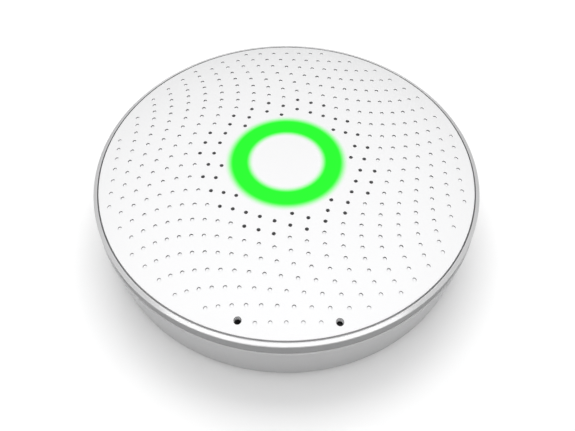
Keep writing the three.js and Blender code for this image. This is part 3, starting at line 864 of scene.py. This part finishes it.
# %% Levels of the bezel and the housing
GAP = 0.3
RIM_RISE = 0.1
LIP_HEIGHT = 0.1
SKIRT_INSET = 0.35
SKIRT_HEIGHT = 4.2
TONGUE_DEPTH = 2.2
TONGUE_WALL = 1.2
LEDGE_WIDTH = 1.75
LEDGE_THICKNESS = 1.5
SHELL_WALL = 1.8
SEAM = 0.06  # between the bezel's skirt and the housing's mouth
RIM_STRIP = 0.3  # the flat inner strip of the rim; a bevel slopes down outside it
STRIP_RISE = 0.85  # how far the strip stands above the CAD rim's outer corner
BEVEL_DROP = 0.45  # from the strip down to the bevel's outer corner
SEAM_FLOOR = 0.15  # floor of the seam round the cover, above the CAD rim's outer corner

rim_z = bezel_high.z - RIM_RISE
parting_z = rim_z - SKIRT_HEIGHT
skirt_radius = rim_radius - SKIRT_INSET
groove_radius = cover_radius + 0.35  # inner edge of the strip, and outer wall of the seam
seat_radius = cover_radius + 0.1  # the pocket narrows below the rim, so the seam stays shallow
ledge_top = cover_low.z - SKIRT_INSET
housing_mouth = body_radius - SHELL_WALL
tongue_radius = housing_mouth - GAP * 1.9
print(f"rim at {rim_z:.2f} mm, parting line at {parting_z:.2f} mm")


# %% Where the screws, magnets and keepers are
def centres_of(pattern, count):
    """The plan centres of numbered CAD nodes."""
    places = []
    for number in range(1, count + 1):
        low, high = node_box(f"{pattern}_{number}")
        places.append(((low.x + high.x) / 2, (low.y + high.y) / 2))
    return places


housing_screws = centres_of("housing_screw", 4)
board_screws = centres_of("board_screw", 3)
magnets = centres_of("magnet", 4)
print("housing screws at", [(round(x, 1), round(y, 1)) for x, y in housing_screws])

# %% Build the bezel
HOUSING_BOSS_TOP = 6.5
BEZEL_BOSS_RADIUS = 3.0
PILOT_RADIUS = 1.4


def bezel_form():
    """The ring with its tongue, ledge, bosses and ribs."""
    tongue_bottom = parting_z - TONGUE_DEPTH
    tongue_inner = tongue_radius - TONGUE_WALL
    ledge_inner = groove_radius - LEDGE_WIDTH
    ledge_bottom = ledge_top - LEDGE_THICKNESS
    lip_z = rim_z - LIP_HEIGHT
    seam_floor = rim_z + SEAM_FLOOR
    ring = turned([
        (tongue_radius, tongue_bottom, 0.25),
        (tongue_radius, parting_z + SEAM, 0),
        (skirt_radius, parting_z + SEAM, 0.04),
        (skirt_radius, lip_z - SKIRT_INSET, 0.08),
        (rim_radius, lip_z, 0.08),
        (rim_radius, rim_z + STRIP_RISE - BEVEL_DROP, 0.1),
        (groove_radius + RIM_STRIP, rim_z + STRIP_RISE, 0.08),
        (groove_radius, rim_z + STRIP_RISE, 0.05),
        (groove_radius, seam_floor, 0),
        (seat_radius, seam_floor - 0.05, 0),
        (seat_radius, ledge_top, 0),
        (ledge_inner, ledge_top, 0.15),
        (ledge_inner, ledge_bottom, 0),
        (tongue_inner, ledge_bottom, 0),
        (tongue_inner, tongue_bottom, 0.25),
    ], sides=DISC_SIDES)
    posts = []
    pilots = []
    for x, y in housing_screws:
        boss_bottom = HOUSING_BOSS_TOP + GAP
        posts.append(rod(BEZEL_BOSS_RADIUS, boss_bottom, ledge_bottom + 0.2, (x, y), 0.2, 36))
        pilots.append(rod(PILOT_RADIUS, 0, ledge_bottom - 1.5, (x, y), 0, 28))
    ribs = []
    for x, y in housing_screws:
        distance = math.hypot(x, y)
        rib = bar((distance, -1, tongue_bottom), (tongue_radius - 0.4, 1, ledge_bottom + 0.1))
        turn = Matrix.Rotation(math.atan2(y, x), 3, "Z")
        bmesh.ops.rotate(rib, matrix=turn, verts=rib.verts)
        ribs.append(rib)
    ring = combined(ring, gathered(posts), "UNION")
    ring = combined(ring, gathered(ribs), "UNION")
    return combined(ring, gathered(pilots), "DIFFERENCE")


bezel_ring = make_piece(
    "bezel_ring", bezel_form(), "monitor", ["bezel"], bezel_white
)
# Painted shade: the skirt under the lip gets a darker grey that stands in for the lip's shade.
paint_where(bezel_ring, skirt_painted_shade, lambda at: at.z < rim_z - LIP_HEIGHT)
# Painted shade: the seam's outer wall and its floor get the dark grey, which draws the dark line
# round the cover.
paint_where(
    bezel_ring, painted_shade_grey, lambda at: at.z > rim_z and at.to_2d().length < groove_radius + 0.01
)

# %% [markdown]
# ## The rear housing
#
# The housing is a shallow tub. Its wall leans outward by two millimetres towards the front, so
# that the mould can open, and its foot is rounded where it almost meets the wall. The rear is
# sunk to take the wall bracket, with a pocket for two batteries and four round ones for magnets.

# %% Build the housing
FOOT_ROUND = 0.6
MOUTH_ROUND = 0.4
BRACKET_ROOM = 0.3
SLOPE = 0.13
MAGNET_BOSS = 5.5
MAGNET_POCKET = 4.3
BOARD_BOSS = 2.4
BOARD_PILOT = 1.1
COUNTERBORE = 3.0
COUNTERBORE_TOP = 4.0
SCREW_BOSS = 4.0
POCKET_WALL = 1.2

foot_z = housing_low.z
rear_face = plate_high.z + BRACKET_ROOM
recess_radius = plate_radius + BRACKET_ROOM
pocket_low = Vector((-28.6, -32.2, rear_face))
pocket_high = Vector((28.6, -2.0, housing_high.z - POCKET_WALL))


def housing_form():
    """The tub with its pockets and bosses."""
    foot_radius = body_radius + 0.03 - SLOPE * (parting_z - foot_z)
    foot_inner = housing_mouth - SLOPE * (parting_z - foot_z - SHELL_WALL)
    tub = turned([
        (0, rear_face, 0),
        (recess_radius, rear_face, 0.1),
        (recess_radius, foot_z, 0.3),
        (foot_radius, foot_z, FOOT_ROUND),
        (body_radius + 0.03, parting_z, MOUTH_ROUND),
        (housing_mouth, parting_z, 0.15),
        (foot_inner, foot_z + SHELL_WALL, 0.6),
        (recess_radius + SHELL_WALL, foot_z + SHELL_WALL, 0),
        (recess_radius + SHELL_WALL, rear_face + SHELL_WALL, 0.3),
        (0, rear_face + SHELL_WALL, 0),
    ], sides=DISC_SIDES)

    wall = Vector((POCKET_WALL, POCKET_WALL, 0))
    box_low = pocket_low - wall + Vector((0, 0, 0.4))
    box_high = pocket_high + wall + Vector((0, 0, POCKET_WALL))
    added = [bar(box_low, box_high, 0.35)]
    cut = [bar(pocket_low - Vector((0, 0, 4)), pocket_high, 0.5)]
    floor = rear_face + 0.5
    for x, y in magnets:
        added.append(rod(MAGNET_BOSS, floor, 7.1, (x, y), 0.3, 64))
        cut.append(rod(MAGNET_POCKET, 0, 5.9, (x, y), 0, 64))
    for x, y in board_screws:
        added.append(rod(BOARD_BOSS, floor, housing_high.z, (x, y), 0.15, 36))
        cut.append(rod(BOARD_PILOT, 13, 22, (x, y), 0, 24))
    for x, y in housing_screws:
        added.append(rod(SCREW_BOSS, foot_z + 0.5, HOUSING_BOSS_TOP, (x, y), 0.25, 48))
        cut.append(turned([
            (0, 0, 0),
            (COUNTERBORE, 0, 0),
            (COUNTERBORE, COUNTERBORE_TOP, 0),
            (PILOT_RADIUS, COUNTERBORE_TOP, 0),
            (PILOT_RADIUS, HOUSING_BOSS_TOP + 1, 0),
            (0, HOUSING_BOSS_TOP + 1, 0),
        ], 48, at=(x, y)))
    tub = combined(tub, gathered(added), "UNION")
    return combined(tub, gathered(cut), "DIFFERENCE")


make_piece(
    "housing_tub", housing_form(), "monitor", ["rear_housing"], housing_white
)

# %% [markdown]
# ## The wall bracket and the magnets
#
# The bracket stays on the wall: a plain disc with one countersunk hole, and four steel discs
# that the magnets in the housing pull on. It is the only part on its own body, because the
# monitor lifts straight off it. Small turned parts repeat, so one function makes them all.

# %% Build the bracket
SINK_DEPTH = 1.8
HOLE_RADIUS = 2.2
KEEPER_POCKET_FLOOR = 1.5


def bracket_form():
    """The disc with its countersunk hole and keeper pockets."""
    disc = turned([
        (0, plate_low.z, 0),
        (plate_radius, plate_low.z, 0.45),
        (plate_radius, plate_high.z, 0.45),
        (0, plate_high.z, 0),
    ], sides=192)
    cut = [turned([
        (0, -1, 0),
        (HOLE_RADIUS, -1, 0),
        (HOLE_RADIUS, plate_high.z - SINK_DEPTH, 0),
        (HOLE_RADIUS + SINK_DEPTH + 1, plate_high.z + 1, 0),
        (0, plate_high.z + 1, 0),
    ], 64)]
    for x, y in magnets:
        cut.append(rod(MAGNET_POCKET, KEEPER_POCKET_FLOOR, plate_high.z + 1, (x, y), 0, 64))
    return combined(disc, gathered(cut), "DIFFERENCE")


make_piece("wall_bracket", bracket_form(), "plate", ["wall_plate"], plate_white)


# %% Build the keepers and magnets
def coin(node, edge):
    """A round disc with softened rims, the size of its CAD node."""
    low, high = node_box(node)
    centre = (low + high) / 2
    return rod((high.x - low.x) / 2, low.z, high.z, (centre.x, centre.y), edge, 72)


for number in range(1, 5):
    keeper = f"keeper_disc_{number}"
    make_piece(f"steel_{keeper}", coin(keeper, 0.12), "plate", [keeper],
               keeper_steel)
    magnet = f"magnet_{number}"
    make_piece(f"plated_{magnet}", coin(magnet, 0.2), "monitor", [magnet],
               magnet_nickel)

# %% [markdown]
# ## Screws
#
# The screws are pan heads for plastic: a domed head, a cross recess and a coarse thread. The
# turned section already carries the thread as a row of ridges. A true helix would need a sheared
# mesh, and nobody can tell the difference on a thread that sits inside a boss. The recess is two
# crossed tapered blades cut out of the head.

# %% Build a screw
THREAD_PITCH = 0.8


def screw_form(node, head_height):
    """A pan-head screw as tall as its CAD node. The wider end of the node is the head."""
    low, high = node_box(node)
    head = (high.x - low.x) / 2
    shank = head * 0.42
    length = high.z - low.z
    section = [
        (0, 0, 0),
        (head * 0.5, 0, 0.4),
        (head * 0.93, head_height * 0.35, 0.3),
        (head, head_height, 0.12),
        (shank, head_height, 0.1),
    ]
    height = head_height + 0.5
    while height < length - 2 * THREAD_PITCH:
        section.append((shank * 0.78, height, 0))
        section.append((shank, height + THREAD_PITCH / 2, 0))
        height += THREAD_PITCH
    section += [(shank * 0.78, height, 0), (shank * 0.3, length, 0), (0, length, 0)]
    form = turned(section, 48, 3)
    for angle in (0, math.pi / 2):
        blade = bar((-head * 0.55, -0.22, -1), (head * 0.55, 0.22, head_height * 0.62))
        for corner in blade.verts:
            if corner.co.z > 0:
                corner.co.x *= 0.45
        bmesh.ops.rotate(blade, matrix=Matrix.Rotation(angle + 0.5, 3, "Z"), verts=blade.verts)
        form = combined(form, blade, "DIFFERENCE")
    return form


# %% Place the screws
for number, (x, y) in enumerate(housing_screws, 1):
    node = f"housing_screw_{number}"
    form = screw_form(node, 1.5)
    bmesh.ops.rotate(form, matrix=Matrix.Rotation(number * 0.7, 3, "Z"), verts=form.verts)
    bmesh.ops.translate(form, vec=(x, y, node_box(node)[0].z), verts=form.verts)
    make_piece(f"rear_{node}", form, "monitor", [node], screw_steel)

for number, (x, y) in enumerate(board_screws, 1):
    node = f"board_screw_{number}"
    form = screw_form(node, 1.3)
    bmesh.ops.rotate(form, matrix=Matrix.Rotation(math.pi, 3, "X"), verts=form.verts)
    bmesh.ops.translate(form, vec=(x, y, node_box(node)[1].z), verts=form.verts)
    make_piece(f"inner_{node}", form, "monitor", [node], screw_steel)

# %% [markdown]
# ## Batteries and contacts
#
# Two AA cells lie side by side, head to tail. A cell is a steel can in a printed plastic sleeve:
# dark over most of its length, with a coppery band at the positive end. The sleeve's edges curl
# over the can's ends. Each cell is turned upright and then laid down along X, and its faces get
# one of three finishes by where they are. The printing stays plain.

# %% The sleeve finishes
def glossy_sleeve(name, colour, roughness):
    """Shrunk plastic sleeve: glossy, with slow waves."""
    finish, tree, shader = start_finish(name, colour, roughness, specular=0.5)
    place = own_place(tree)
    waves = cloud(tree, stretched(tree, place, (0.4, 1, 1)), 4, 2)
    tree.links.new(mixed(tree, waves, dimmed(colour, 0.85), colour), shader.inputs["Base Color"])
    tree.links.new(
        ranged(tree, waves, 0.3, 0.7, roughness - 0.05, roughness + 0.08),
        shader.inputs["Roughness"],
    )
    relief(tree, shader, waves, 0.03)
    return finish


cell_dark = glossy_sleeve("sleeve dark", (0.035, 0.037, 0.042), 0.25)
cell_band = glossy_sleeve("sleeve copper", (0.46, 0.21, 0.09), 0.28)
BAND_SHARE = 0.27


# %% Build the cells
def cell_form(length, radius):
    """An upright cell, negative end at the bottom."""
    top = length - 1.3
    return turned([
        (0, 0, 0),
        (radius * 0.69, 0, 0.12),
        (radius * 0.73, 0.35, 0.08),
        (radius * 0.85, 0.35, 0.08),
        (radius * 0.88, 0.04, 0.1),
        (radius, 0.04, 0.45),
        (radius, top, 0.45),
        (radius * 0.86, top, 0.12),
        (radius * 0.83, top - 0.3, 0.06),
        (radius * 0.47, top - 0.3, 0.1),
        (radius * 0.37, top - 0.1, 0.08),
        (radius * 0.37, length, 0.35),
        (0, length, 0),
    ], 96)


for number in (1, 2):
    low, high = node_box(f"cell_{number}")
    centre = (low + high) / 2
    way = 1 if number == 1 else -1
    length = high.x - low.x
    form = cell_form(length, (high.y - low.y) / 2)
    bmesh.ops.rotate(form, matrix=Matrix.Rotation(way * math.pi / 2, 3, "Y"), verts=form.verts)
    start = low.x if way == 1 else high.x
    bmesh.ops.translate(form, vec=(start, centre.y, centre.z), verts=form.verts)
    piece = make_piece(
        f"battery_cell_{number}", form, "monitor", [f"cell_{number}"], cell_dark
    )

    def along(point):
        """How far a point lies from the cell's negative end, as a share of its length."""
        return (point.x - start) * way / length

    def from_axis(point):
        """How far a point lies from the cell's axis."""
        return math.hypot(point.y - centre.y, point.z - centre.z)

    paint_where(piece, cell_band, lambda p: along(p) > 1 - BAND_SHARE)
    paint_where(piece, magnet_nickel, lambda p: from_axis(p) < 6.15)

# %% [markdown]
# The negative contacts are conical springs. A curve with a round bevel is the quickest way to
# make wire in Blender: we give it points on a shrinking helix, and turn it into a mesh so that it
# shades like its neighbours.

# %% Build the contact springs
WIRE_RADIUS = 0.35
SPRING_TURNS = 2.5


def spring_form(foot, way, wide, narrow, height):
    """A conical spring whose wide end stands at foot, along +X or -X."""
    wire = bpy.data.curves.new("spring wire", "CURVE")
    wire.dimensions = "3D"
    wire.bevel_depth = WIRE_RADIUS
    wire.bevel_resolution = 4
    wire.use_fill_caps = True
    count = 120
    path = wire.splines.new("POLY")
    path.points.add(count - 1)
    for index, point in enumerate(path.points):
        share = index / (count - 1)
        angle = 2 * math.pi * SPRING_TURNS * share
        radius = wide + (narrow - wide) * share
        x = foot.x + way * height * share
        y = foot.y + radius * math.cos(angle)
        point.co = (x, y, foot.z + radius * math.sin(angle), 1)
    holder = bpy.data.objects.new("spring wire", wire)
    bpy.context.collection.objects.link(holder)
    form = bmesh.new()
    graph = bpy.context.evaluated_depsgraph_get()
    form.from_mesh(holder.evaluated_get(graph).to_mesh())
    bpy.data.objects.remove(holder)
    bmesh.ops.remove_doubles(form, verts=form.verts, dist=1e-4)
    return form


for number in (1, 2):
    low, high = node_box(f"contact_spring_{number}")
    cell_low, cell_high = node_box(f"cell_{number}")
    way = 1 if number == 1 else -1
    foot_x = low.x + WIRE_RADIUS if way == 1 else high.x - WIRE_RADIUS
    foot = Vector((foot_x, (cell_low.y + cell_high.y) / 2, (cell_low.z + cell_high.z) / 2))
    height = high.x - low.x - 2 * WIRE_RADIUS
    form = spring_form(foot, way, 4.2, 2.0, height)
    name = f"contact_spring_{number}"
    make_piece(f"wound_{name}", form, "monitor", [name], contact_nickel, 60)


# %% Build the contact sheets
def sheet_form(node):
    """A stamped sheet with rounded edges."""
    low, high = node_box(node)
    return bar(low, high, 0.12)


for node in ("positive_tab", "negative_tab", "contact_bridge"):
    make_piece(f"stamped_{node}", sheet_form(node), "monitor", [node],
               contact_nickel)

# %% [markdown]
# ## Finishes for the parts that stay as they are
#
# The board and the small parts on it are already the right shape in the CAD model. They keep
# their CAD meshes, which must not be changed, and only get a better material in their slots.

# %% Finish the CAD nodes that stay
NODE_FINISHES = {
    "main_board": board_green,
    "radio_module": module_blue,
    "reflector_ring": reflector_white,
    "light_guide": guide_clear,
    "vent_mesh": dust_screen,
    "chamber_cup": chamber_black,
    "chamber_seal": foam_black,
    "sounder_gasket": foam_black,
    "light_pipe": lens_dark,
    "co2_module": module_gold,
    "bulk_capacitor": capacitor_tan,
}
for number in range(1, 7):
    NODE_FINISHES[f"led_{number}"] = led_resin
for node in ("motion_sensor", "gas_sensor", "pressure_sensor", "radio_shield",
             "amplifier_shield", "crystal"):
    NODE_FINISHES[node] = sensor_can
for node in ("light_sensor", "sounder", "humidity_sensor", "processor", "power_coil",
             "photodiode"):
    NODE_FINISHES[node] = chip_black

for node, finish in NODE_FINISHES.items():
    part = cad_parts[node]
    if not part.material_slots:
        part.data.materials.append(finish)
    for material_slot in part.material_slots:
        material_slot.material = finish
print(len(NODE_FINISHES), "CAD nodes keep their shape")


# %% [markdown]
# ## Light and floor
#
# The monitor lies on a white table under large lamps, as in a packshot. The soft box hangs a
# little towards the front, where the sloping rim reflects it as a bright arc. The other two lamps
# reach only the table, through light linking, so they don't flatten the monitor. The ceiling lamp
# is wide and low and burns the table out to white, apart from a soft grey shadow round the foot.
# The back lamp stands behind the monitor, so its shadow falls to the front. The dim world fills
# the shadows a little. The table is a real mesh with a material of its own, and it isn't part of
# the monitor.

# %% The table
def table_top():
    """A very large pale sheet just under the monitor."""
    form = bmesh.new()
    bmesh.ops.create_grid(form, x_segments=8, y_segments=8, size=6)
    mesh = bpy.data.meshes.new("table top")
    form.to_mesh(mesh)
    form.free()
    finish, tree, shader = start_finish("table white", (0.93, 0.93, 0.93), 0.9, specular=0.1)
    mottle = cloud(tree, own_place(tree), 60, 2)
    tree.links.new(
        mixed(tree, mottle, (0.925, 0.925, 0.925), (0.935, 0.935, 0.935)),
        shader.inputs["Base Color"],
    )
    mesh.materials.append(finish)
    sheet = bpy.data.objects.new("table_top", mesh)
    sheet.location.z = -0.05 * MM
    bpy.context.collection.objects.link(sheet)
    return sheet


table_sheet = table_top()

# %% The lamps and the world
def soft_lamp(name, size, place, power):
    """A rectangular lamp that shines straight down."""
    lamp_data = bpy.data.lights.new(name, "AREA")
    lamp_data.shape = "RECTANGLE"
    lamp_data.size, lamp_data.size_y = size
    lamp_data.energy = power
    lamp = bpy.data.objects.new(name, lamp_data)
    lamp.location = place
    bpy.context.collection.objects.link(lamp)
    return lamp


SOFTBOX_SIZE = (1.00, 0.56)
SOFTBOX_PLACE = (-0.01, -0.13, 0.60)
SOFTBOX_POWER = 5.7
CEILING_SIZE = (9, 9)
CEILING_HEIGHT = 0.22
CEILING_POWER = 222
BACK_SIZE = (0.50, 0.38)
BACK_PLACE = (0.0, 0.29, 0.60)
BACK_POWER = 1.9
WORLD_WHITE = 0.05

softbox = soft_lamp("soft box", SOFTBOX_SIZE, SOFTBOX_PLACE, SOFTBOX_POWER)
ceiling = soft_lamp("ceiling", CEILING_SIZE, (0, 0, CEILING_HEIGHT), CEILING_POWER)
back_lamp = soft_lamp("back lamp", BACK_SIZE, BACK_PLACE, BACK_POWER)
for lamp, lights_table in ((ceiling, True), (back_lamp, True), (softbox, False)):
    lit = bpy.data.collections.new(f"lit by {lamp.name}")
    lit.objects.link(table_sheet)
    lamp.light_linking.receiver_collection = lit
    lit.collection_objects[0].light_linking.link_state = "INCLUDE" if lights_table else "EXCLUDE"

world = bpy.data.worlds.new("studio")
world.use_nodes = True
background = world.node_tree.nodes["Background"]
background.inputs["Color"].default_value = (1, 1, 1, 1)
background.inputs["Strength"].default_value = WORLD_WHITE
bpy.context.scene.world = world
bpy.context.scene.view_settings.view_transform = "Standard"
print("soft box", SOFTBOX_SIZE, "m at", SOFTBOX_PLACE)
